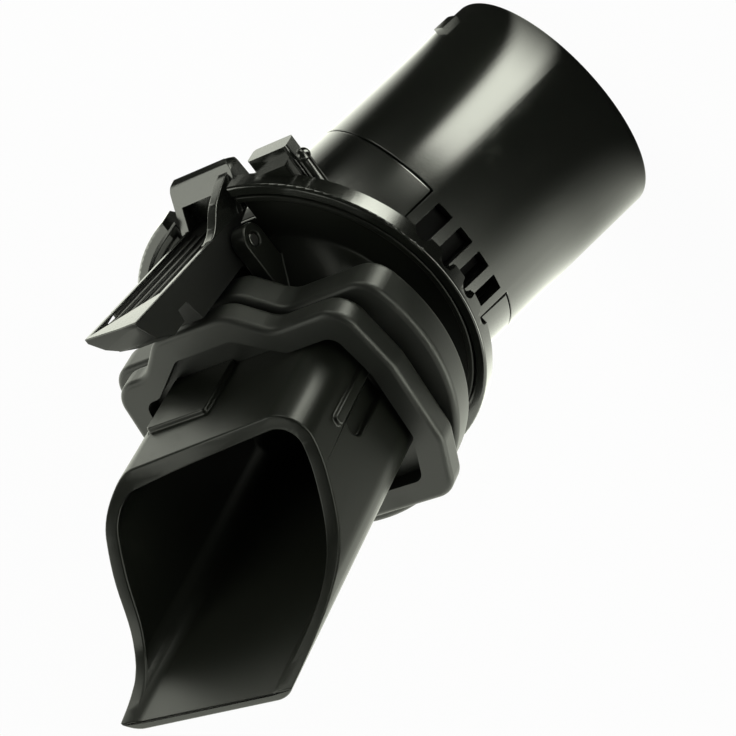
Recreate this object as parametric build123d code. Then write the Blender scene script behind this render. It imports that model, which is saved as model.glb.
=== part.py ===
"""Vacuum hose connector: hose cuff, angled elbow housing, latched inlet spout with a double-lip seal."""
import os
from math import cos, sin, radians

from build123d import *

os.makedirs("parts", exist_ok=True)

# Driving sizes, in millimetres and degrees. The hose end stands on Z = 0.
bend_deg = 34.2            # lean of the spout axis from the hose axis
bend_height = 59.3         # hose end face to the bend centre
cuff_r = 23.0              # outside of the hose cuff and of the elbow neck
socket_r = 20.9            # bore that takes the hose end
socket_depth = 25.5        # depth of that bore
cuff_length = 34.7         # hose end face to the cuff's seam
seam_gap = 0.15            # gap between cuff and elbow neck
spigot_clear = 0.1         # radial gap round the spigot
spigot_r = 21.2            # elbow spigot inside the cuff
duct_r = 18.8              # bore of the elbow
comb_half_deg = 30.0       # half angle of the comb on the inner side of the bend
comb_length = 6.5          # teeth of the comb, beyond the seam
comb_pitch_deg = 13.4      # angle between comb slots
slot_w = 3.4               # width of a comb slot
slot_depth = 5.8           # length of a comb slot
window_r = 19.7            # bottom of the pocket behind a comb slot
lock_r = 23.8              # outside of the hose lock lugs
lock_half_deg = 4.5
lock_mid_deg = 97.0
lock_low, lock_high = 4.8, 8.2

skirt_r = 31.7             # round skirt on the elbow
skirt_wall = 1.7
skirt_back, skirt_floor, skirt_front = -1.6, 0.5, 3.2
collar_gap = 0.5           # round gap between the skirt and the spout's collar
collar_wall = 1.2
collar_base = 1.3
block_u = (8.0, 16.6)      # guard block beside the latch tab
block_drop, block_rise = 13.7, 0.2   # its foot and its top, from the skirt's outside
block_w = (-5.6, -2.0)
post_u, post_w = 18.4, -2.2          # round post beside the block
post_r, post_head_r = 0.9, 1.25

spout_w, spout_h = 40.4, 26.2    # outside of the spout
spout_mid = -4.4                 # height of its middle over the bend centre
spout_wall = 2.4
spout_floor = 1.6                # thinner wall that ends in the lip
spout_round = 6.0
neck_d = 43.0                    # round neck behind the seal
neck_end = 10.4
# Edge of the slanted mouth, (along, up), on the left and on the right of the spout.
mouth_left = [(41.4, 14.0), (42.4, 9.0), (46.8, 6.8), (51.6, 3.2), (56.4, -2.9), (59.2, -8.7),
              (62.4, -12.6), (68.5, -14.9), (76.0, -15.7)]
mouth_right = [(39.4, 14.0), (39.5, 9.0), (39.7, 4.6), (40.6, 0.2), (43.9, -5.4), (49.3, -10.6),
               (56.3, -13.2), (66.0, -14.8), (78.0, -15.7)]
mouth_reach = 25.0
lip_left, lip_right = 74.8, 77.2  # ends of the floor lip
pad_u = (-15.2, -1.8)            # raised pad on the top
pad_end, pad_rise = 32.6, 1.0
ridge_v = (-0.5, 1.4)            # raised ridge on the right wall
ridge_end, ridge_rise = 34.4, 0.8
pocket_v = (-5.0, -0.7)          # pocket under the ridge
pocket_end, pocket_depth = 32.6, 1.3

seal_r = 31.2              # round outline of the rear seal lip
seal_back, seal_split, seal_front = 10.6, 17.6, 23.0
seal_groove = 0.8
lip_half, lip_drop = 27.2, 26.4  # half width of the front lip, and its flat bottom
band, recess = 4.6, 3.4          # rim of the front lip, and the recess inside it
seal_top, seal_shoulder = 19.2, 13.6
seal_top_half, seal_step = 8.0, 6.4
seal_edge = 1.1
seal_corner = 5.0          # rounding of the lips' outlines

latch_u = -2.2             # middle of the latch across the spout
arm_half = 6.0             # half width of the latch arm
arm_root, arm_tip = (2.0, 26.2), (38.4, 31.35)   # top line of the arm, (along, up)
# Underside of the arm, (along, up), from the hook's nose back to the tab.
arm_under = [(38.7, 30.6), (37.0, 26.8), (33.0, 24.2), (29.2, 24.0), (28.8, 26.0), (26.2, 25.6), (25.4, 21.4),
             (10.2, 20.2), (9.6, 19.6), (4.4, 19.6), (3.4, 24.6), (-1.0, 25.2)]
tip_cut = ((-12.0, 36.9), (8.0, 39.4))           # oblique end of the hook, (across, along)
hook_cut = ((-9.0, 30.9), (-4.2, 27.0))          # slanted lower left corner of the hook, (across, up)
panel = [(-7.4, 2.6), (1.6, 2.6), (2.9, 13.5), (2.9, 28.8), (-7.4, 36.4)]  # sunk panel, (across, along)
panel_depth, panel_rib = 0.8, 0.45
tab_profile = [(2.6, 26.0), (-2.2, 33.1), (-3.3, 33.6), (-4.6, 32.7), (-5.0, 27.0), (-4.2, 26.0), (-1.0, 25.2)]
tab_half, tab_high, tab_round = 7.0, 33.7, 1.8
hollow_w, hollow_top = (-1.6, 4.6), 29.7    # dark hollow under the tab's face
web_curve = [(-4.4, 31.6), (-1.6, 31.9), (2.3, 31.3), (6.0, 30.2), (9.2, 28.4), (13.0, 27.7)]
web_t = 1.9
pivot_v, pivot_w = 22.6, 7.0
pin_r = 1.25
pin_clear = 0.06
pin_inset = 0.3            # end of the pin below the face of its lug
lug_r = 2.9                # round head of each hinge lug
lug_t = 3.0                # thickness of each hinge lug
lug_gap = 0.35             # side gap between lug and arm
slot_floor = 23.6          # floor of the gap in the skirt that the latch passes through
slot_left, slot_right = 8.2, 7.6
spring_room = 2.4          # half width of the spring's pocket in the arm
spring_back, spring_front, spring_high = 4.6, 3.4, 2.6
wire_r, coil_r, coil_turns, coil_pitch = 0.38, 2.0, 4.5, 0.82

tau = radians(bend_deg)
spout_frame = Plane(origin=(0, 0, bend_height), x_dir=(cos(tau), 0, -sin(tau)), z_dir=(sin(tau), 0, cos(tau)))


def on_spout(shape):
    """Moves a shape from spout axes (across, up, along) into the part frame."""
    return spout_frame * shape


def box(u0, u1, v0, v1, w0, w1):
    """A block between two corners."""
    return Pos((u0 + u1) / 2, (v0 + v1) / 2, (w0 + w1) / 2) * Box(abs(u1 - u0), abs(v1 - v0), abs(w1 - w0))


def ring(r_out, r_in, z0, z1):
    """A plain tube along Z."""
    wall = Cylinder(r_out, z1 - z0) - Cylinder(r_in, z1 - z0 + 1)
    return Pos(0, 0, (z0 + z1) / 2) * wall


def sector(r_out, r_in, z0, z1, half_deg, mid_deg=0.0):
    """A piece of a tube, between two angles about Z."""
    a = radians(half_deg)
    reach = r_out * 1.5
    wedge = Polyline((0, 0), (reach * cos(a), -reach * sin(a)), (reach * 1.3, 0), (reach * cos(a), reach * sin(a)),
                     close=True)
    wedge = extrude(make_face(wedge), z1 - z0)
    return ring(r_out, r_in, z0, z1) & (Rot(0, 0, mid_deg) * Pos(0, 0, z0) * wedge)


def side_profile(points, u0, u1):
    """A block whose outline is drawn in (along, up) and runs across from u0 to u1."""
    face = make_face(Polyline(*[(0.0, v, w) for w, v in points], close=True))
    return Pos(u0, 0, 0) * extrude(face, u1 - u0, dir=(1, 0, 0))


def rounded(w, h, r, mid, along):
    """A rounded rectangle across the spout."""
    return Pos(0, mid, along) * RectangleRounded(w, h, r)


def outline(points):
    """A flat face between corners in (across, up)."""
    return make_face(Polyline(*points, close=True))


def across_along(points, v0, v1):
    """A block whose outline is drawn in (across, along) and runs up from v0 to v1."""
    face = make_face(Polyline(*[(u, v0, w) for u, w in points], close=True))
    return extrude(face, v1 - v0, dir=(0, 1, 0))


# Hose cuff: a plain socket with lock lugs, and a comb that keys it into the elbow neck.
cuff = ring(cuff_r, socket_r, 0, cuff_length)
cuff -= Pos(0, 0, (socket_depth + cuff_length) / 2 + 0.5) * Cylinder(spigot_r + spigot_clear,
                                                                    cuff_length - socket_depth + 1)
cuff = fillet(cuff.edges().filter_by(GeomType.CIRCLE).group_by(Axis.Z)[0].sort_by(SortBy.RADIUS)[-1:], 0.7)
cuff += sector(cuff_r, spigot_r + spigot_clear, cuff_length - 1, cuff_length + comb_length, comb_half_deg - 0.5)
slot_angles = [comb_pitch_deg * (i - 1.5) for i in range(4)]
comb_end = cuff_length + comb_length
for angle in slot_angles:
    slot = box(cuff_r - 4, cuff_r + 3, -slot_w / 2, slot_w / 2, comb_end - slot_depth, comb_end + 1)
    cuff -= Rot(0, 0, angle) * slot
for mid in (lock_mid_deg, -lock_mid_deg):
    cuff += sector(lock_r, cuff_r - 0.6, lock_low, lock_high, lock_half_deg, mid)

# Elbow housing: skirt cup, oblique neck, spigot, comb notch, guard block and post beside the latch tab.
neck_low = cuff_length + seam_gap
neck = Pos(0, 0, (neck_low + bend_height + cuff_r) / 2) * Cylinder(cuff_r, bend_height + cuff_r - neck_low)
spigot_low = socket_depth + 0.2
neck += Pos(0, 0, (spigot_low + bend_height) / 2) * Cylinder(spigot_r, bend_height - spigot_low)
neck -= on_spout(box(-3 * cuff_r, 3 * cuff_r, -3 * cuff_r, 3 * cuff_r, skirt_back + 0.4, 3 * cuff_r))
cup = Pos(0, 0, (skirt_back + skirt_front) / 2) * Cylinder(skirt_r, skirt_front - skirt_back)
cup = chamfer(cup.edges().filter_by(GeomType.CIRCLE).group_by(Axis.Z)[0], 1.2)
cup = fillet(cup.edges().filter_by(GeomType.CIRCLE).group_by(Axis.Z)[-1], 0.5)
cup -= Pos(0, 0, skirt_floor + 5) * Cylinder(skirt_r - skirt_wall, 10)
block_top = skirt_r + block_rise
block = box(*block_u, skirt_r - block_drop, block_top, *block_w)
block = fillet(block.edges().filter_by(Axis.Y), 0.7)
block += box(block_u[0] + 0.6, block_u[1] - 0.6, skirt_r - block_drop, block_top - 2.0, block_w[1] - 1.0, skirt_floor)
post_high = skirt_r - 2.5
post = Pos(post_u, post_high - 6, post_w) * Rot(-90, 0, 0) * Cylinder(post_r, 12)
post += Pos(post_u, post_high, post_w) * Sphere(post_head_r)
elbow = neck + on_spout(cup + block + post)
elbow -= sector(cuff_r + 1, spigot_r, cuff_length - 1, comb_end + 0.15, comb_half_deg)
for angle in slot_angles:
    window = box(window_r, cuff_r + 5, -slot_w / 2, slot_w / 2, comb_end - slot_depth, comb_end + 0.5)
    window += Pos((window_r + cuff_r + 5) / 2, 0, comb_end + 0.5) * Rot(0, 90, 0) * Cylinder(
        slot_w / 2, cuff_r + 5 - window_r)
    elbow -= Rot(0, 0, angle) * window
elbow -= Pos(0, 0, (spigot_low + bend_height) / 2 - 1) * Cylinder(duct_r, bend_height - spigot_low + 2)
elbow -= Pos(0, 0, bend_height) * Sphere(duct_r)
latch_slot = box(latch_u - slot_left, latch_u + slot_right, slot_floor, 2 * skirt_r, skirt_back - 2, skirt_front + 1)
elbow -= on_spout(latch_slot)

# Inlet spout: collar in the skirt, neck, duct with a slanted mouth, pad, side ridge and hinge lugs.
collar_r = skirt_r - skirt_wall - collar_gap
collar_low = skirt_floor + 0.05
spout = Pos(0, 0, (collar_low + skirt_floor + collar_base) / 2) * Cylinder(collar_r, collar_base - 0.05)
spout += ring(collar_r, collar_r - collar_wall, skirt_floor + 0.1, skirt_front - 0.1)
spout += loft([rounded(neck_d, neck_d, neck_d / 2 - 0.5, 0, collar_low),
               rounded(spout_w, spout_h, spout_round, spout_mid, neck_end)])
spout += extrude(rounded(spout_w, spout_h, spout_round, spout_mid, neck_end), lip_right + 2 - neck_end)
top = spout_mid + spout_h / 2
side = spout_w / 2
recess_floor = seal_front - recess
from_seal = recess_floor + 0.05
pad = box(*pad_u, top - 2, top + pad_rise, from_seal, pad_end)
spout += fillet(pad.edges().filter_by(Axis.Y).group_by(Axis.Z)[-1], 0.8)
ridge = box(side - 1.5, side + ridge_rise, *ridge_v, from_seal, ridge_end)
spout += fillet(ridge.edges().filter_by(Axis.X).group_by(Axis.Z)[-1], 0.8)
pocket_r = (pocket_v[1] - pocket_v[0]) / 2
pocket_mid = (pocket_v[0] + pocket_v[1]) / 2
pocket = box(side - pocket_depth, side + 2, *pocket_v, from_seal, pocket_end - pocket_r)
pocket += Pos(side + 1 - pocket_depth / 2, pocket_mid, pocket_end - pocket_r) * Rot(0, 90, 0) * Cylinder(
    pocket_r, 2 + pocket_depth)
spout -= pocket
lug_in = arm_half + lug_gap
for sign in (-1, 1):
    lug_mid = latch_u + sign * (lug_in + lug_t / 2)
    lug = box(lug_mid - lug_t / 2, lug_mid + lug_t / 2, top + 3, pivot_v, pivot_w - lug_r, pivot_w + lug_r)
    lug += Pos(lug_mid, pivot_v, pivot_w) * Rot(0, 90, 0) * Cylinder(lug_r, lug_t)
    spout += lug
seat_top = pivot_v - coil_r - wire_r - 0.2
spout += box(latch_u - spring_room + 0.3, latch_u + spring_room - 0.3, top + 3, seat_top,
             pivot_w - 3.4, pivot_w - 1.2)
void_w = spout_w - 2 * spout_wall
void_h = spout_h - spout_wall - spout_floor
void_mid = spout_mid + (spout_floor - spout_wall) / 2
void = loft([rounded(duct_r * 2 - 0.6, duct_r * 2 - 0.6, duct_r - 0.8, 0, skirt_floor - 0.5),
             rounded(void_w, void_h, spout_round - 2, void_mid, neck_end + 1)])
void += extrude(rounded(void_w, void_h, spout_round - 2, void_mid, neck_end + 1), lip_right)
spout -= void
far = lip_right * 1.2


def mouth_side(points, u):
    """One end of the block that cuts the mouth: a smooth edge, closed beyond the lip."""
    edge = Spline(*[(u, v, w) for w, v in points])
    back = Polyline((u, points[-1][1], points[-1][0]), (u, points[-1][1], far), (u, points[0][1], far),
                    (u, points[0][1], points[0][0]))
    return make_face([edge] + back.edges())


spout -= loft([mouth_side(mouth_left, -mouth_reach), mouth_side(mouth_right, mouth_reach)], ruled=True)
spout -= across_along([(-mouth_reach, lip_left), (mouth_reach, lip_right), (mouth_reach, far), (-mouth_reach, far)],
                      spout_mid - spout_h, spout_mid + spout_h)
spout -= Pos(latch_u, pivot_v, pivot_w) * Rot(0, 90, 0) * Cylinder(pin_r, 4 * arm_half + 4 * lug_t)
spout -= latch_slot


# Flange seal: a rubber sleeve with a round rear lip and a squarer front lip, recessed inside its rim.
def step_up(inset=0.0):
    """Corners of the raised flat in the middle of the top, left to right, with a slope each side."""
    mid = latch_u - 1.0
    a = seal_top_half - 0.4 * inset
    b = seal_top_half + seal_step
    high, low = seal_top - inset, seal_shoulder - inset
    return [(mid - b, low), (mid - a, high), (mid + a, high), (mid + b, low)]


def front_outline(inset=0.0):
    """Rounded outline of the front lip, or of its recess when inset."""
    half, low = lip_half - inset, inset - lip_drop
    right = [(0.93 * half, seal_shoulder - inset), (half, 0), (0.96 * half, 0.6 * low), (0.78 * half, low)]
    left = [(-u, v) for u, v in reversed(right)]
    face = outline(step_up(inset) + right + left)
    return fillet(face.vertices(), seal_corner / 2 if inset else seal_corner)


def rear_outline():
    """Round outline of the rear lip, cut off at the shoulders, with the same raised flat."""
    face = Circle(seal_r) - Pos(0, seal_shoulder + seal_r) * Rectangle(3 * seal_r, 2 * seal_r)
    first, last = step_up()[0], step_up()[-1]
    face += outline([(first[0], 0)] + step_up() + [(last[0], 0)])
    return fillet([v for v in face.vertices() if v.Y > seal_shoulder - 0.1], seal_corner)


def seal_lip(shape, w0, w1):
    """One lip of the seal, with rounded edges."""
    solid = extrude(Pos(0, 0, w0) * shape, w1 - w0)
    edges = solid.edges().group_by(Axis.Z)
    return fillet(edges[0] + edges[-1], seal_edge)


seal = seal_lip(rear_outline(), seal_back, seal_split - seal_groove / 2)
seal += seal_lip(front_outline(), seal_split + seal_groove / 2, seal_front)
seal += extrude(rounded(spout_w + 9, spout_h + 5, spout_round + 2, spout_mid, seal_split - 1), 2)
seal -= extrude(Pos(0, 0, recess_floor) * front_outline(band), 2 * recess)
seal -= extrude(rounded(spout_w + 0.1, spout_h + 0.1, spout_round + 0.05, spout_mid, seal_back - 1),
                seal_front - seal_back + 2)


# Latch lever: arm with a hook and a sunk ribbed panel, a thumb tab, a side web and a spring pocket.
def arm_top(w):
    """Height of the arm's top line."""
    return arm_root[1] + (w - arm_root[0]) * (arm_tip[1] - arm_root[1]) / (arm_tip[0] - arm_root[0])


left_u, right_u = latch_u - arm_half, latch_u + arm_half
tab_back = tab_profile[-1]
arm = side_profile([(tab_back[0] + 0.4, arm_top(tab_back[0] + 0.4)), arm_tip] + arm_under, left_u, right_u)
arm -= across_along([*tip_cut, (tip_cut[1][0], far), (tip_cut[0][0], far)], slot_floor - 9, 2 * slot_floor)
corner = outline([*hook_cut, (hook_cut[1][0], 0), (hook_cut[0][0], 0)])
arm -= extrude(Pos(0, 0, arm_under[4][0]) * corner, arm_tip[0])
panel_w0, panel_w1 = panel[0][1], panel[-1][1]


def panel_block(drop, u0, u1, high):
    """A block over the sunk panel, from a drop below the arm's top line up to a height above it."""
    low = [(w, arm_top(w) - drop) for w in (panel_w0, panel_w1)]
    return side_profile(low + [(panel_w1, arm_top(panel_w1) + high), (panel_w0, arm_top(panel_w0) + high)], u0, u1)


sunk = panel_block(panel_depth, left_u, right_u, 2.0) & across_along(panel, slot_floor, 2 * slot_floor)
for i in range(3):
    rib_u = panel[0][0] + (panel[2][0] - panel[0][0]) * (i + 1) / 4
    sunk -= panel_block(panel_depth + 1, rib_u - 0.25, rib_u + 0.25, panel_rib - panel_depth)
arm -= sunk
tab = side_profile(tab_profile, latch_u - tab_half, latch_u + tab_half)
tab_outline = Pos(latch_u, tab_high / 2) * RectangleRounded(2 * tab_half, tab_high, tab_round)
tab &= extrude(Pos(0, 0, -slot_floor) * tab_outline, 2 * slot_floor)
web_edge = Spline(*[(0.0, v, w) for w, v in web_curve])
web_foot = Polyline((0.0, web_curve[-1][1], web_curve[-1][0]), (0.0, slot_floor + 2, web_curve[-1][0]),
                    (0.0, slot_floor + 2, tab_profile[0][0]), (0.0, tab_profile[5][1] + 0.5, web_curve[0][0]),
                    (0.0, web_curve[0][1], web_curve[0][0]))
web = Pos(right_u - web_t, 0, 0) * extrude(make_face([web_edge] + web_foot.edges()), web_t, dir=(1, 0, 0))
lever = arm + tab + web
lever -= box(panel[0][0], right_u - web_t, arm_top(panel_w0) - panel_depth, hollow_top, *hollow_w)
lever -= box(latch_u - spring_room, latch_u + spring_room, slot_floor - 6, pivot_v + spring_high,
             pivot_w - spring_back, pivot_w + spring_front)
lever -= Pos(latch_u, pivot_v, pivot_w) * Rot(0, 90, 0) * Cylinder(pin_r + pin_clear, 4 * arm_half)

# Pin and torsion spring of the latch.
pin = Pos(latch_u, pivot_v, pivot_w) * Rot(0, 90, 0) * Cylinder(pin_r, 2 * (lug_in + lug_t - pin_inset))
pin = chamfer(pin.edges(), 0.25)
steps = 12
coil_points = [(coil_r * (1 - 0.36 * t * t), -2 * coil_r * t, 0) for t in (1, 0.75, 0.5, 0.25)]
coil_points += [(coil_r * cos(radians(360 * i / steps)), coil_r * sin(radians(360 * i / steps)), coil_pitch * i / steps)
                for i in range(int(coil_turns * steps) + 1)]
coil_points += [(-coil_r, -coil_r * t, coil_pitch * coil_turns) for t in (0.5, 1.0, 1.5)]
coil_path = Polyline(*coil_points)
wire_end = Plane(origin=coil_path @ 0, z_dir=coil_path % 0) * Circle(wire_r)
spring = sweep(wire_end, path=coil_path, transition=Transition.RIGHT)
spring = Rot(0, 90, 0) * Rot(0, 0, 90) * Pos(0, 0, -coil_pitch * coil_turns / 2) * spring
spring = Pos(latch_u, pivot_v, pivot_w) * spring

parts = {
    "hose_cuff": cuff,
    "elbow_housing": elbow,
    "inlet_spout": on_spout(spout),
    "flange_seal": on_spout(seal),
    "latch_lever": on_spout(lever),
    "latch_pin": on_spout(pin),
    "latch_spring": on_spout(spring),
}
for name, shape in parts.items():
    export_step(shape, f"parts/{name}.step")
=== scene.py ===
# %% [markdown]
# # A vacuum hose connector in black plastic
# The connector joins a round hose to the inlet of a vacuum cleaner. A hose cuff runs into a
# skirted elbow, and a rectangular spout with a slanted mouth leaves the elbow at an angle. A
# rubber seal with two lips sits round the spout, and a latch with a thumb tab holds it in the
# machine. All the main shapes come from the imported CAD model, so this script dresses them: it
# rounds their edges, winds the latch's spring as a smooth wire, gives all pieces their finishes,
# and sets up the studio and the camera.

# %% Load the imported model
import bpy
import bmesh
from math import atan2, cos, degrees, hypot, radians, sin
from mathutils import Matrix, Vector


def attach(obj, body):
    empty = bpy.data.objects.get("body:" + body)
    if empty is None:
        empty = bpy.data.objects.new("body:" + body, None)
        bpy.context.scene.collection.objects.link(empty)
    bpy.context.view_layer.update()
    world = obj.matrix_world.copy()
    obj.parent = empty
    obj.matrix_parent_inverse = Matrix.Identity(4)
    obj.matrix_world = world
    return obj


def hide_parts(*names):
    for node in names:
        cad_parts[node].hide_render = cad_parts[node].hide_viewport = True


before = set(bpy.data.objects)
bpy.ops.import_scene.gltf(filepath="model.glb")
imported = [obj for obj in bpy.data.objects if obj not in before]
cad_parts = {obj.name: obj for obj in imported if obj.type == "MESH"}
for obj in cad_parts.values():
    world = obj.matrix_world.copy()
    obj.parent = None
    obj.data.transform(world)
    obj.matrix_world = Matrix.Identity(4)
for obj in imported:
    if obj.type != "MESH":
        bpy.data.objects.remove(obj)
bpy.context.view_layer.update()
print("nodes", sorted(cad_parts))

# %% [markdown]
# ## The camera
# The photograph looks past the latch into the mouth of the spout, with the hose end turned away
# to the upper right. The camera's place and roll were worked out from the outlines of the cuff
# and the skirt, so the model needs no fitting: three axes and a point are enough.

# %% Place the camera
view_right = Vector((0.44861, -0.55685, -0.69905))
view_up = Vector((-0.13406, 0.73139, -0.66865))
view_back = Vector((0.88362, 0.39368, 0.25346))
view_from = Vector((0.393226, 0.162568, 0.169138))

camera_data = bpy.data.cameras.new("photo_camera")
camera_data.sensor_width = 36
camera_data.lens = 125.25
camera_data.clip_start = 0.01
camera = bpy.data.objects.new("photo_camera", camera_data)
bpy.context.collection.objects.link(camera)
view_axes = Matrix((view_right, view_up, view_back)).transposed().to_4x4()
camera.matrix_world = Matrix.Translation(view_from) @ view_axes
bpy.context.scene.camera = camera
print("camera at", [round(value, 3) for value in view_from])

# %% [markdown]
# ## Node maths
# A material is easier to read as a formula than as a list of links. One small class wraps a
# socket and turns Python's operators into Math nodes, and one method adds any other node. It
# serves the Geometry Nodes of the spring as well.

# %% A socket that can be used in formulas
class Wire:
    """One socket of a node tree, with the operators that the formulas below use."""

    def __init__(self, tree, socket):
        self.tree = tree
        self.socket = socket

    def node(self, kind, settings=None, out=0, **inputs):
        """Adds a node, sets its settings first, then its sockets by name, or as n0, n1 by number."""
        made = self.tree.nodes.new(kind)
        for key, value in (settings or {}).items():
            setattr(made, key, value)
        for key, value in inputs.items():
            name = key.replace("_", " ")
            numbered = name[0] == "n" and name[1:].isdigit()
            socket = made.inputs[int(name[1:]) if numbered else name]
            if isinstance(value, Wire):
                self.tree.links.new(value.socket, socket)
            else:
                socket.default_value = value
        return Wire(self.tree, made.outputs[out])

    def maths(self, operation, *values):
        """Adds a Math node on these values."""
        inputs = {f"n{i}": v for i, v in enumerate(values)}
        return self.node("ShaderNodeMath", {"operation": operation}, **inputs)

    def __add__(self, other): return self.maths("ADD", self, other)
    def __radd__(self, other): return self.maths("ADD", other, self)
    def __sub__(self, other): return self.maths("SUBTRACT", self, other)
    def __rsub__(self, other): return self.maths("SUBTRACT", other, self)
    def __mul__(self, other): return self.maths("MULTIPLY", self, other)
    def __rmul__(self, other): return self.maths("MULTIPLY", other, self)

    def blend(self, low, high):
        """A colour between two others, with this value as the share of the second."""
        return self.node("ShaderNodeMix", {"data_type": "RGBA"}, out=2, n0=self, n6=low, n7=high)

    def between(self, low, high):
        """This value from low to high as 0 to 1, with soft ends."""
        return self.node("ShaderNodeMapRange", {"interpolation_type": "SMOOTHSTEP"}, Value=self,
                         From_Min=low, From_Max=high)

    def vector(self, operation, other, out=0):
        """Adds a Vector Math node on this vector and another; out=1 is its number."""
        return self.node("ShaderNodeVectorMath", {"operation": operation}, out=out, n0=self, n1=other)

    def flat(self):
        """This vector with no height."""
        return self.vector("MULTIPLY", (1, 1, 0))

    def length(self):
        """The length of this vector."""
        return self.node("ShaderNodeVectorMath", {"operation": "LENGTH"}, out=1, n0=self)


def new_finish(name):
    """A material with its shader and a Wire on the piece's own coordinates."""
    finish = bpy.data.materials.new(name)
    finish.use_nodes = True
    tree = finish.node_tree
    shader = tree.nodes["Principled BSDF"]
    place = tree.nodes.new("ShaderNodeTexCoord")
    return finish, shader, Wire(tree, place.outputs["Object"])


def feed(shader, name, wire):
    """Links a Wire to a socket of the shader."""
    wire.tree.links.new(wire.socket, shader.inputs[name])


# %% [markdown]
# ## The black plastic
# The connector is injection moulded in black plastic with a satin skin. On the real part the
# skin isn't perfect: it has a fine grain from the tool's surface, faint flow marks, and a few
# rubbed places that are a little more matt. Each of these is a noise at its own scale.
#
# Cores and recesses get painted shade: there the black is mixed with a darker and less shiny one,
# with a rougher skin like an unpolished core, inside the tube, in the pockets behind the comb, on the floor
# of the latch's slot and in the lever's panel.

# %% Satin black plastic
lean = radians(34.2)       # lean of the spout from the hose axis
bend_height = 0.0593       # where the spout's axis meets the hose axis
cuff_core = 0.0225         # radius inside which the cuff gets painted shade
elbow_core = 0.0212        # the same for the elbow, with the pockets behind the comb
arm_line = 0.0261          # just under the lever's top, at arm_start along the spout
arm_start = 0.002
arm_slope = 0.1415         # rise of the lever's top along the spout
panel_shade_share = 0.75         # how much painted shade the lever's panel gets


def spout_place(place):
    """The three coordinates in the spout's axes: across, up and along."""
    x, y, z = [place.node("ShaderNodeSeparateXYZ", None, out=i, Vector=place) for i in range(3)]
    z = z - bend_height
    return x * cos(lean) - z * sin(lean), y, x * sin(lean) + z * cos(lean)


def inside_tube(place, radius):
    """1 nearer to the hose axis than a radius, 0 beyond it."""
    return 1.0 - place.flat().length().between(radius - 0.0004, radius)


def slot_floor(place):
    """1 on the floor of the gap that the latch passes through, and on the neck just below it."""
    across, up, along = spout_place(place)
    level = up.between(0.0222, 0.0226) * (1.0 - up.between(0.0238, 0.0240))
    below = along.between(-0.0065, -0.0050)
    return level * below * across.between(-0.0106, -0.0102) * (1.0 - across.between(0.0054, 0.0058))


def sunk_panel(place):
    """1 where the lever lies below the plane of its arm's top."""
    _, up, along = spout_place(place)
    return (arm_line + (along - arm_start) * arm_slope - up).between(0.0, 0.0002)


def plastic(name, gloss, grain, tint, shine=0.5, polish=0.25, painted_shade=None):
    """Moulded black plastic: gloss is its roughness, grain the height of its skin in metres.
    Where the mask in the last argument gives 1, a darker, less shiny and rougher black is mixed in: painted
    shade in a core or a recess."""
    finish, shader, place = new_finish(name)
    flow = place.node("ShaderNodeTexNoise", None, Vector=place, Scale=38.0, Detail=3.0)
    rub = place.node("ShaderNodeTexNoise", None, Vector=place, Scale=170.0, Detail=5.0, Roughness=0.65)
    skin = place.node("ShaderNodeTexNoise", None, Vector=place, Scale=2600.0, Detail=2.0)
    worn = rub.between(0.58, 0.78)
    shade = (flow * 0.6 + worn * 0.4).between(0.1, 0.9)
    paler = (tint[0] * 1.6, tint[1] * 1.6, tint[2] * 1.55, 1)
    feed(shader, "Base Color", shade.blend((*tint, 1), paler))
    feed(shader, "Roughness", gloss + flow * 0.06 + worn * 0.07)
    shader.inputs["Coat Weight"].default_value = polish
    shader.inputs["IOR"].default_value = 1.5
    shader.inputs["Specular IOR Level"].default_value = shine
    shader.inputs["Coat Roughness"].default_value = 0.12
    bump = place.node("ShaderNodeBump", None, Strength=0.25, Distance=grain, Height=skin * 0.7 + flow * 0.3)
    feed(shader, "Normal", bump)
    # Painted shade: where the mask gives 1, the black is mixed with a darker, less shiny and rougher one.
    if painted_shade:
        tree = finish.node_tree
        shade_bsdf = tree.nodes.new("ShaderNodeBsdfPrincipled")
        shade_bsdf.inputs["Base Color"].default_value = (0.003, 0.003, 0.003, 1)
        shade_bsdf.inputs["Roughness"].default_value = 0.6
        shade_bsdf.inputs["Specular IOR Level"].default_value = 0.12
        both = place.node("ShaderNodeMixShader", None, n0=painted_shade(place),
                          n1=Wire(tree, shader.outputs["BSDF"]), n2=Wire(tree, shade_bsdf.outputs["BSDF"]))
        tree.links.new(both.socket, tree.nodes["Material Output"].inputs["Surface"])
    return finish


def elbow_recesses(place):
    """1 in the elbow's core and pockets, and in the latch's slot."""
    return place.maths("MAXIMUM", inside_tube(place, elbow_core), slot_floor(place))


warm_black = (0.0085, 0.0095, 0.0075)
# The last argument of each plastic says where it gets painted shade: the bore, the pockets behind the comb,
# the slot floor and the lever's panel.
cuff_black = plastic("cuff_black", 0.15, 0.00003, warm_black,
                     painted_shade=lambda place: inside_tube(place, cuff_core))
elbow_black = plastic("elbow_black", 0.16, 0.00003, warm_black, painted_shade=elbow_recesses)
spout_black = plastic("spout_black", 0.33, 0.00004, (0.0070, 0.0078, 0.0060), shine=0.22, polish=0.0)
latch_black = plastic("latch_black", 0.22, 0.00003, warm_black,
                      painted_shade=lambda place: sunk_panel(place) * panel_shade_share)
print("plastics", [made.name for made in (cuff_black, elbow_black, spout_black, latch_black)])

# %% [markdown]
# ## The rubber of the seal
# The lips are soft black rubber: more matt than the plastic, with a fine even grain.

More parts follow.
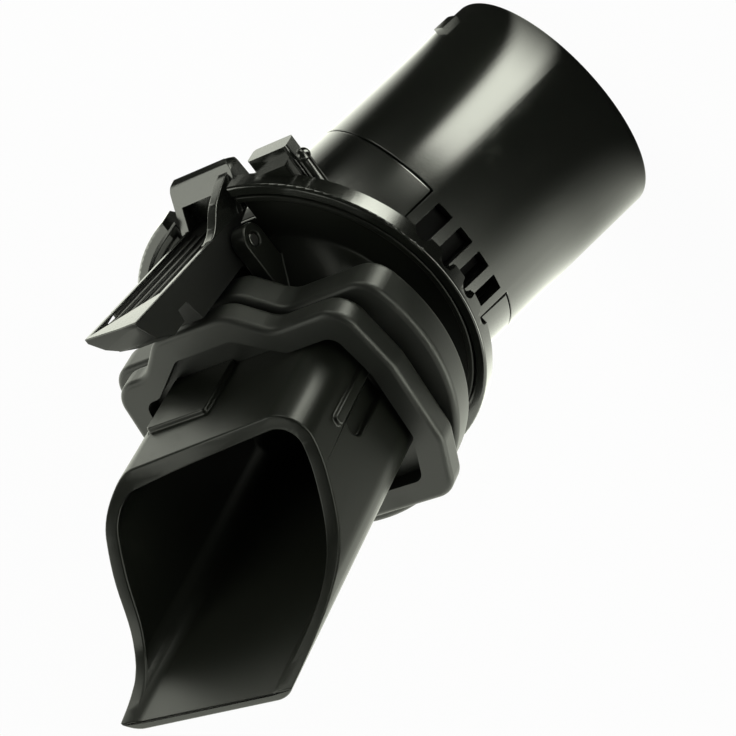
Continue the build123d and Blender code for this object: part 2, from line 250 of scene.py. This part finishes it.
# %% Matt rubber
def rubber(name):
    """Soft black rubber with a little dust."""
    finish, shader, place = new_finish(name)
    cloud = place.node("ShaderNodeTexNoise", None, Vector=place, Scale=90.0, Detail=4.0)
    grain = place.node("ShaderNodeTexNoise", None, Vector=place, Scale=3200.0, Detail=2.0)
    dust = cloud.between(0.5, 0.8)
    feed(shader, "Base Color", dust.blend((0.012, 0.013, 0.011, 1), (0.022, 0.023, 0.020, 1)))
    feed(shader, "Roughness", 0.44 + dust * 0.14)
    shader.inputs["Specular IOR Level"].default_value = 0.30
    bump = place.node("ShaderNodeBump", None, Strength=0.35, Distance=0.00004, Height=grain)
    feed(shader, "Normal", bump)
    return finish


seal_black = rubber("seal_black")
print("rubber", seal_black.name)

# %% [markdown]
# ## The steel of the pin and spring
# The pin and the spring of the latch hardly show. They are drawn steel, the pin darker than the
# spring, with fine marks.

# %% Drawn steel
def steel(name, colour):
    """Drawn steel with fine darker marks."""
    finish, shader, place = new_finish(name)
    marks = place.node("ShaderNodeTexNoise", None, Vector=place, Scale=1400.0, Detail=3.0)
    darker = (colour[0] * 0.8, colour[1] * 0.8, colour[2] * 0.8, 1)
    feed(shader, "Base Color", marks.blend((*colour, 1), darker))
    shader.inputs["Metallic"].default_value = 1.0
    feed(shader, "Roughness", 0.28 + marks * 0.15)
    return finish


pin_steel = steel("pin_steel", (0.20, 0.20, 0.195))
spring_steel = steel("spring_steel", (0.42, 0.42, 0.41))

finish_of = {"hose_cuff": cuff_black, "elbow_housing": elbow_black, "inlet_spout": spout_black,
             "flange_seal": seal_black, "latch_lever": latch_black, "latch_pin": pin_steel,
             "latch_spring": spring_steel}
for node, finish in finish_of.items():
    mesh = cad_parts[node].data
    mesh.materials.clear()
    mesh.materials.append(finish)
print("finishes", len(finish_of))

# %% [markdown]
# ## Rounded edges
# A moulded edge is never sharp, and on black plastic the thin highlights along the edges draw the
# shape. Each plastic piece is copied, its loose triangles are merged and its flat faces joined, and
# a narrow bevel rounds every edge that is sharper than the facets of the curved walls. The line
# between cuff and neck has a wider bevel of its own, so that it shows as a seam.

# %% Dress the plastic pieces
edge_width = {"hose_cuff": 0.00035, "elbow_housing": 0.00035, "inlet_spout": 0.00035,
              "latch_lever": 0.00012}
body_of_node = {"hose_cuff": "connector", "elbow_housing": "connector", "inlet_spout": "connector",
                "latch_lever": "latch"}
# The comb gives these two short edges, so their rounding is held back to what the shortest can take.
short_edged = {"hose_cuff", "elbow_housing"}
merge_gap, flat_angle, sharp_angle = 0.000004, radians(0.6), radians(34)
seam_width, seam_slack = 0.00028, 0.0003
seam_z, comb_deg, comb_end = 0.0347, 30.0, 0.0412    # where the cuff meets the elbow's neck


def on_seam(vert):
    """True for a corner on the line between cuff and neck, which both pieces round more widely."""
    x, y, z = vert.co
    at_comb_side = abs(abs(degrees(atan2(y, x))) - comb_deg) < 1.0
    beside_comb = at_comb_side and seam_z - seam_slack < z < comb_end + 0.0005
    return hypot(x, y) > cuff_core and (abs(z - seam_z) < seam_slack or beside_comb)


def to_mesh(draft):
    """The draft with its modifiers applied, as a plain mesh. The draft is removed."""
    depsgraph = bpy.context.evaluated_depsgraph_get()
    finished = bpy.data.meshes.new_from_object(draft.evaluated_get(depsgraph))
    draft.modifiers.clear()
    bpy.data.objects.remove(draft)
    return finished


def rounded_copy(node, width):
    """A copy of a CAD node with joined flats, rounded edges and smooth curved walls."""
    bm = bmesh.new()
    bm.from_mesh(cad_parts[node].data)
    bmesh.ops.remove_doubles(bm, verts=bm.verts, dist=merge_gap)
    bmesh.ops.dissolve_limit(bm, angle_limit=flat_angle, verts=bm.verts, edges=bm.edges)
    seam = bm.edges.layers.float.new("bevel_weight_edge")
    for edge in bm.edges:
        if node in short_edged and edge.calc_face_angle(0.0) > sharp_angle:
            edge[seam] = float(all(on_seam(vert) for vert in edge.verts))
    mesh = bpy.data.meshes.new(f"{node}_dressed")
    bm.to_mesh(mesh)
    bm.free()
    mesh.shade_smooth()
    draft = bpy.data.objects.new(f"{node}_draft", mesh)
    bpy.context.collection.objects.link(draft)
    line = draft.modifiers.new("seam", "BEVEL")
    line.width = seam_width
    line.segments = 2
    line.limit_method = "WEIGHT"
    line.use_clamp_overlap = False
    bevel = draft.modifiers.new("edges", "BEVEL")
    bevel.width = width
    bevel.segments = 2
    bevel.limit_method = "ANGLE"
    bevel.angle_limit = sharp_angle
    bevel.use_clamp_overlap = node in short_edged
    flats = draft.modifiers.new("flats", "WEIGHTED_NORMAL")
    flats.weight = 100
    flats.keep_sharp = True
    finished = to_mesh(draft)
    finished.materials.clear()
    finished.materials.append(finish_of[node])
    piece = bpy.data.objects.new(f"{node}_piece", finished)
    bpy.context.collection.objects.link(piece)
    return piece


for node, width in edge_width.items():
    piece = rounded_copy(node, width)
    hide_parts(node)
    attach(piece, body_of_node[node])
    print(node, "triangles", sum(len(p.vertices) - 2 for p in piece.data.polygons))

# %% [markdown]
# ## The latch spring
# The torsion spring is one wire on one path, so a rule draws it better than a mesh does. A straight
# line is cut into short steps, and each step is moved to its place: along the first leg, round the
# coil, or along the second leg. A circle swept along that path is the wire.

# %% Wind the spring with Geometry Nodes
spring_sizes = {"Wire Radius": 0.00038, "Coil Radius": 0.0020, "Turns": 4.5, "Pitch": 0.00082}
leg_turns = 0.32           # share of the steps that a leg takes, counted in turns of the coil
first_leg, last_leg = 2.0, 1.5    # lengths of the legs, in coil radii
leg_bow = 0.36             # how far the first leg's end bends inward, in coil radii
spring_steps = 150         # steps along the whole wire
spout_axes = Matrix(((cos(lean), 0, sin(lean), 0), (0, 1, 0, 0),
                     (-sin(lean), 0, cos(lean), bend_height), (0, 0, 0, 1)))
pin_middle = Vector((-0.0022, 0.0226, 0.0070))    # in spout axes: across, up, along


def spring_tree():
    """A node tree that winds a torsion spring round Z from its four sizes."""
    tree = bpy.data.node_groups.new("torsion_spring", "GeometryNodeTree")
    for name in spring_sizes:
        tree.interface.new_socket(name, in_out="INPUT", socket_type="NodeSocketFloat")
    tree.interface.new_socket("Geometry", in_out="OUTPUT", socket_type="NodeSocketGeometry")
    sizes = tree.nodes.new("NodeGroupInput")
    wire_r, coil_r, turns, pitch = [Wire(tree, sizes.outputs[name]) for name in spring_sizes]
    along = wire_r.node("GeometryNodeSplineParameter") * (turns + 2 * leg_turns) - leg_turns
    first = along.maths("MAXIMUM", 0.0 - along, 0.0) * (1.0 / leg_turns)
    last = along.maths("MAXIMUM", along - turns, 0.0) * (last_leg / leg_turns)
    wound = along.maths("MINIMUM", along.maths("MAXIMUM", along, 0.0), turns)
    angle = wound * radians(360)
    x = coil_r * (angle.maths("COSINE", angle) - first * first * leg_bow)
    y = coil_r * (angle.maths("SINE", angle) - first * first_leg - last)
    place = wire_r.node("ShaderNodeCombineXYZ", X=x, Y=y, Z=pitch * (wound - turns * 0.5))
    line = wire_r.node("GeometryNodeCurvePrimitiveLine")
    steps = wire_r.node("GeometryNodeResampleCurve", Curve=line, Count=spring_steps)
    path = wire_r.node("GeometryNodeSetPosition", Geometry=steps, Position=place)
    end = wire_r.node("GeometryNodeCurvePrimitiveCircle", Resolution=12, Radius=wire_r)
    wire = wire_r.node("GeometryNodeCurveToMesh", Curve=path, Profile_Curve=end, Fill_Caps=True)
    real = wire_r.node("GeometryNodeRealizeInstances", Geometry=wire)
    coated = wire_r.node("GeometryNodeSetMaterial", Geometry=real, Material=spring_steel)
    tree.links.new(coated.socket, tree.nodes.new("NodeGroupOutput").inputs["Geometry"])
    return tree


draft = bpy.data.objects.new("spring_draft", bpy.data.meshes.new("spring_draft"))
bpy.context.collection.objects.link(draft)
winding = draft.modifiers.new("winding", "NODES")
winding.node_group = spring_tree()
for item in winding.node_group.interface.items_tree:
    if item.in_out == "INPUT":
        winding[item.identifier] = spring_sizes[item.name]
spring_mesh = to_mesh(draft)
onto_pin = Matrix.Rotation(radians(90), 4, "Y") @ Matrix.Rotation(radians(90), 4, "Z")
spring_mesh.transform(spout_axes @ Matrix.Translation(pin_middle) @ onto_pin)
spring_mesh.shade_smooth()
spring = bpy.data.objects.new("latch_spring_piece", spring_mesh)
bpy.context.collection.objects.link(spring)
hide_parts("latch_spring")
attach(spring, "connector")
print("spring triangles", sum(len(p.vertices) - 2 for p in spring_mesh.polygons))

# %% [markdown]
# ## The studio
# The photograph is a cut-out on white, lit by large soft lamps. One soft box hangs over the latch
# and one stands low at the side, and the part stands on a wide pale floor.

# %% Floor and lamps
middle = Vector((0.012, 0.0, 0.066))    # of the part
card_colour = (0.97, 1.0, 0.87, 1)


def studio_point(right, up, back):
    """A point given from the camera's axes, in metres from the middle of the part."""
    return middle + view_right * right + view_up * up + view_back * back


def lamp(name, place, size, power):
    """A soft box that faces the part."""
    data = bpy.data.lights.new(name, "AREA")
    data.shape = "RECTANGLE"
    data.size = size
    data.size_y = size
    data.energy = power
    data.color = card_colour[:3]
    made = bpy.data.objects.new(name, data)
    bpy.context.collection.objects.link(made)
    made.location = place
    made.rotation_euler = (middle - place).to_track_quat("-Z", "Y").to_euler()


lamp("top_box", middle + Vector((-0.135, 0.508, 0.85)) * 0.6, 0.30, 1.3)
lamp("side_box", studio_point(0.55, -0.35, 0.15), 0.35, 0.5)

bm = bmesh.new()
bmesh.ops.create_circle(bm, cap_ends=True, segments=64, radius=6.0)
floor_mesh = bpy.data.meshes.new("studio_floor")
bm.to_mesh(floor_mesh)
bm.free()
floor = bpy.data.objects.new("studio_floor", floor_mesh)
bpy.context.collection.objects.link(floor)
floor.location = (0, 0, -0.0002)

# %% [markdown]
# ## What the plastic reflects
# Black plastic is mostly seen by what it reflects. The camera sees plain white all round, and a
# gloss ray meets a studio instead: a dark front, where the camera stands, white cards behind and to
# the right, a lit strip on the floor that draws the streak along the cuff, and a far card that
# lights the comb's ribs and the neck. All are set by their bearing from the cuff's axis, so they
# stay where they are when the camera moves.

# %% White to the camera, cards to the gloss
front = Vector((0.9134, 0.4070, 0.0))
left = Vector((-0.4070, 0.9134, 0.0))
card_light, dark_light = 2.3, 0.02
strip_bearing = front * cos(radians(30)) + left * sin(radians(30))


def cards(place, strip, far):
    """Light of the cards at a place or in a direction: white at the back, and all down the right."""
    flat = place.flat()
    reach = flat.length()
    bearing = place.node("ShaderNodeVectorMath", {"operation": "NORMALIZE"}, n0=flat)
    ahead = bearing.vector("DOT_PRODUCT", front, out=1)
    aside = bearing.vector("DOT_PRODUCT", left, out=1)
    toward = bearing.vector("DOT_PRODUCT", strip_bearing, out=1)
    on_left = aside.between(-0.22, 0.18)
    back = (0.0 - ahead).between(0.22, 0.72)
    right = (1.0 - ahead).between(0.22, 0.95)
    beyond = reach.between(0.15, 0.19)
    on_strip = reach.between(0.018, 0.050) * (1.0 - reach.between(0.100, 0.116))
    lit_strip = toward.between(0.950, 0.996) * on_strip * strip
    both_sides = (0.0 - aside).between(-0.6, 1.0) + aside.between(0.45, 0.95) * 0.4
    far_card = beyond * ahead.between(0.0, 0.25) * far * both_sides
    # Near the part the right card is dimmed by half: a painted shadow of the part on the floor, seen only
    # in reflections.
    near_painted_shadow = 0.5 + reach.between(0.05, 0.09) * 0.5
    back_card = on_left * back * card_light
    right_card = (1.0 - on_left) * right * near_painted_shadow * card_light
    return dark_light + back_card + right_card + lit_strip + far_card


def two_faced(tree, plain, place, kind, share=1.0, strip=0.0, far=0.0):
    """White for a share of what the camera sees, cards for gloss rays, the plain shader for the rest."""
    path = tree.nodes.new("ShaderNodeLightPath")
    camera_ray = Wire(tree, path.outputs["Is Camera Ray"])
    gloss_ray = Wire(tree, path.outputs["Is Glossy Ray"])
    through_ray = Wire(tree, path.outputs["Is Transmission Ray"])
    white = camera_ray.node(kind, None, Color=(1, 1, 1, 1), Strength=1.0)
    glow = place.node("ShaderNodeVectorMath", {"operation": "SCALE"}, n0=card_colour[:3],
                      Scale=cards(place, strip, far))
    studio = camera_ray.node(kind, None, Color=glow, Strength=1.0)
    seen = camera_ray.maths("MINIMUM", camera_ray + through_ray, 1.0)
    with_gloss = seen.node("ShaderNodeMixShader", None, n0=gloss_ray, n1=Wire(tree, plain), n2=studio)
    return seen.node("ShaderNodeMixShader", None, n0=seen * share, n1=with_gloss, n2=white)


floor_white = bpy.data.materials.new("floor_white")
floor_white.use_nodes = True
tree = floor_white.node_tree
base = tree.nodes["Principled BSDF"]
base.inputs["Base Color"].default_value = (0.86, 0.86, 0.86, 1)
base.inputs["Roughness"].default_value = 0.8
spot = Wire(tree, tree.nodes.new("ShaderNodeNewGeometry").outputs["Position"])
surface = two_faced(tree, base.outputs[0], spot, "ShaderNodeEmission", share=0.96, strip=14.0, far=10.0)
tree.links.new(surface.socket, tree.nodes["Material Output"].inputs["Surface"])
floor_mesh.materials.append(floor_white)

world = bpy.data.worlds.new("studio_world")
bpy.context.scene.world = world
world.use_nodes = True
tree = world.node_tree
soft = tree.nodes["Background"]
soft.inputs["Color"].default_value = (1, 1, 1, 1)
soft.inputs["Strength"].default_value = 0.4
sky = Wire(tree, tree.nodes.new("ShaderNodeTexCoord").outputs["Generated"])
surface = two_faced(tree, soft.outputs[0], sky, "ShaderNodeBackground")
tree.links.new(surface.socket, tree.nodes["World Output"].inputs["Surface"])

bpy.context.scene.view_settings.view_transform = "Standard"
print("studio", floor_white.name, world.name)
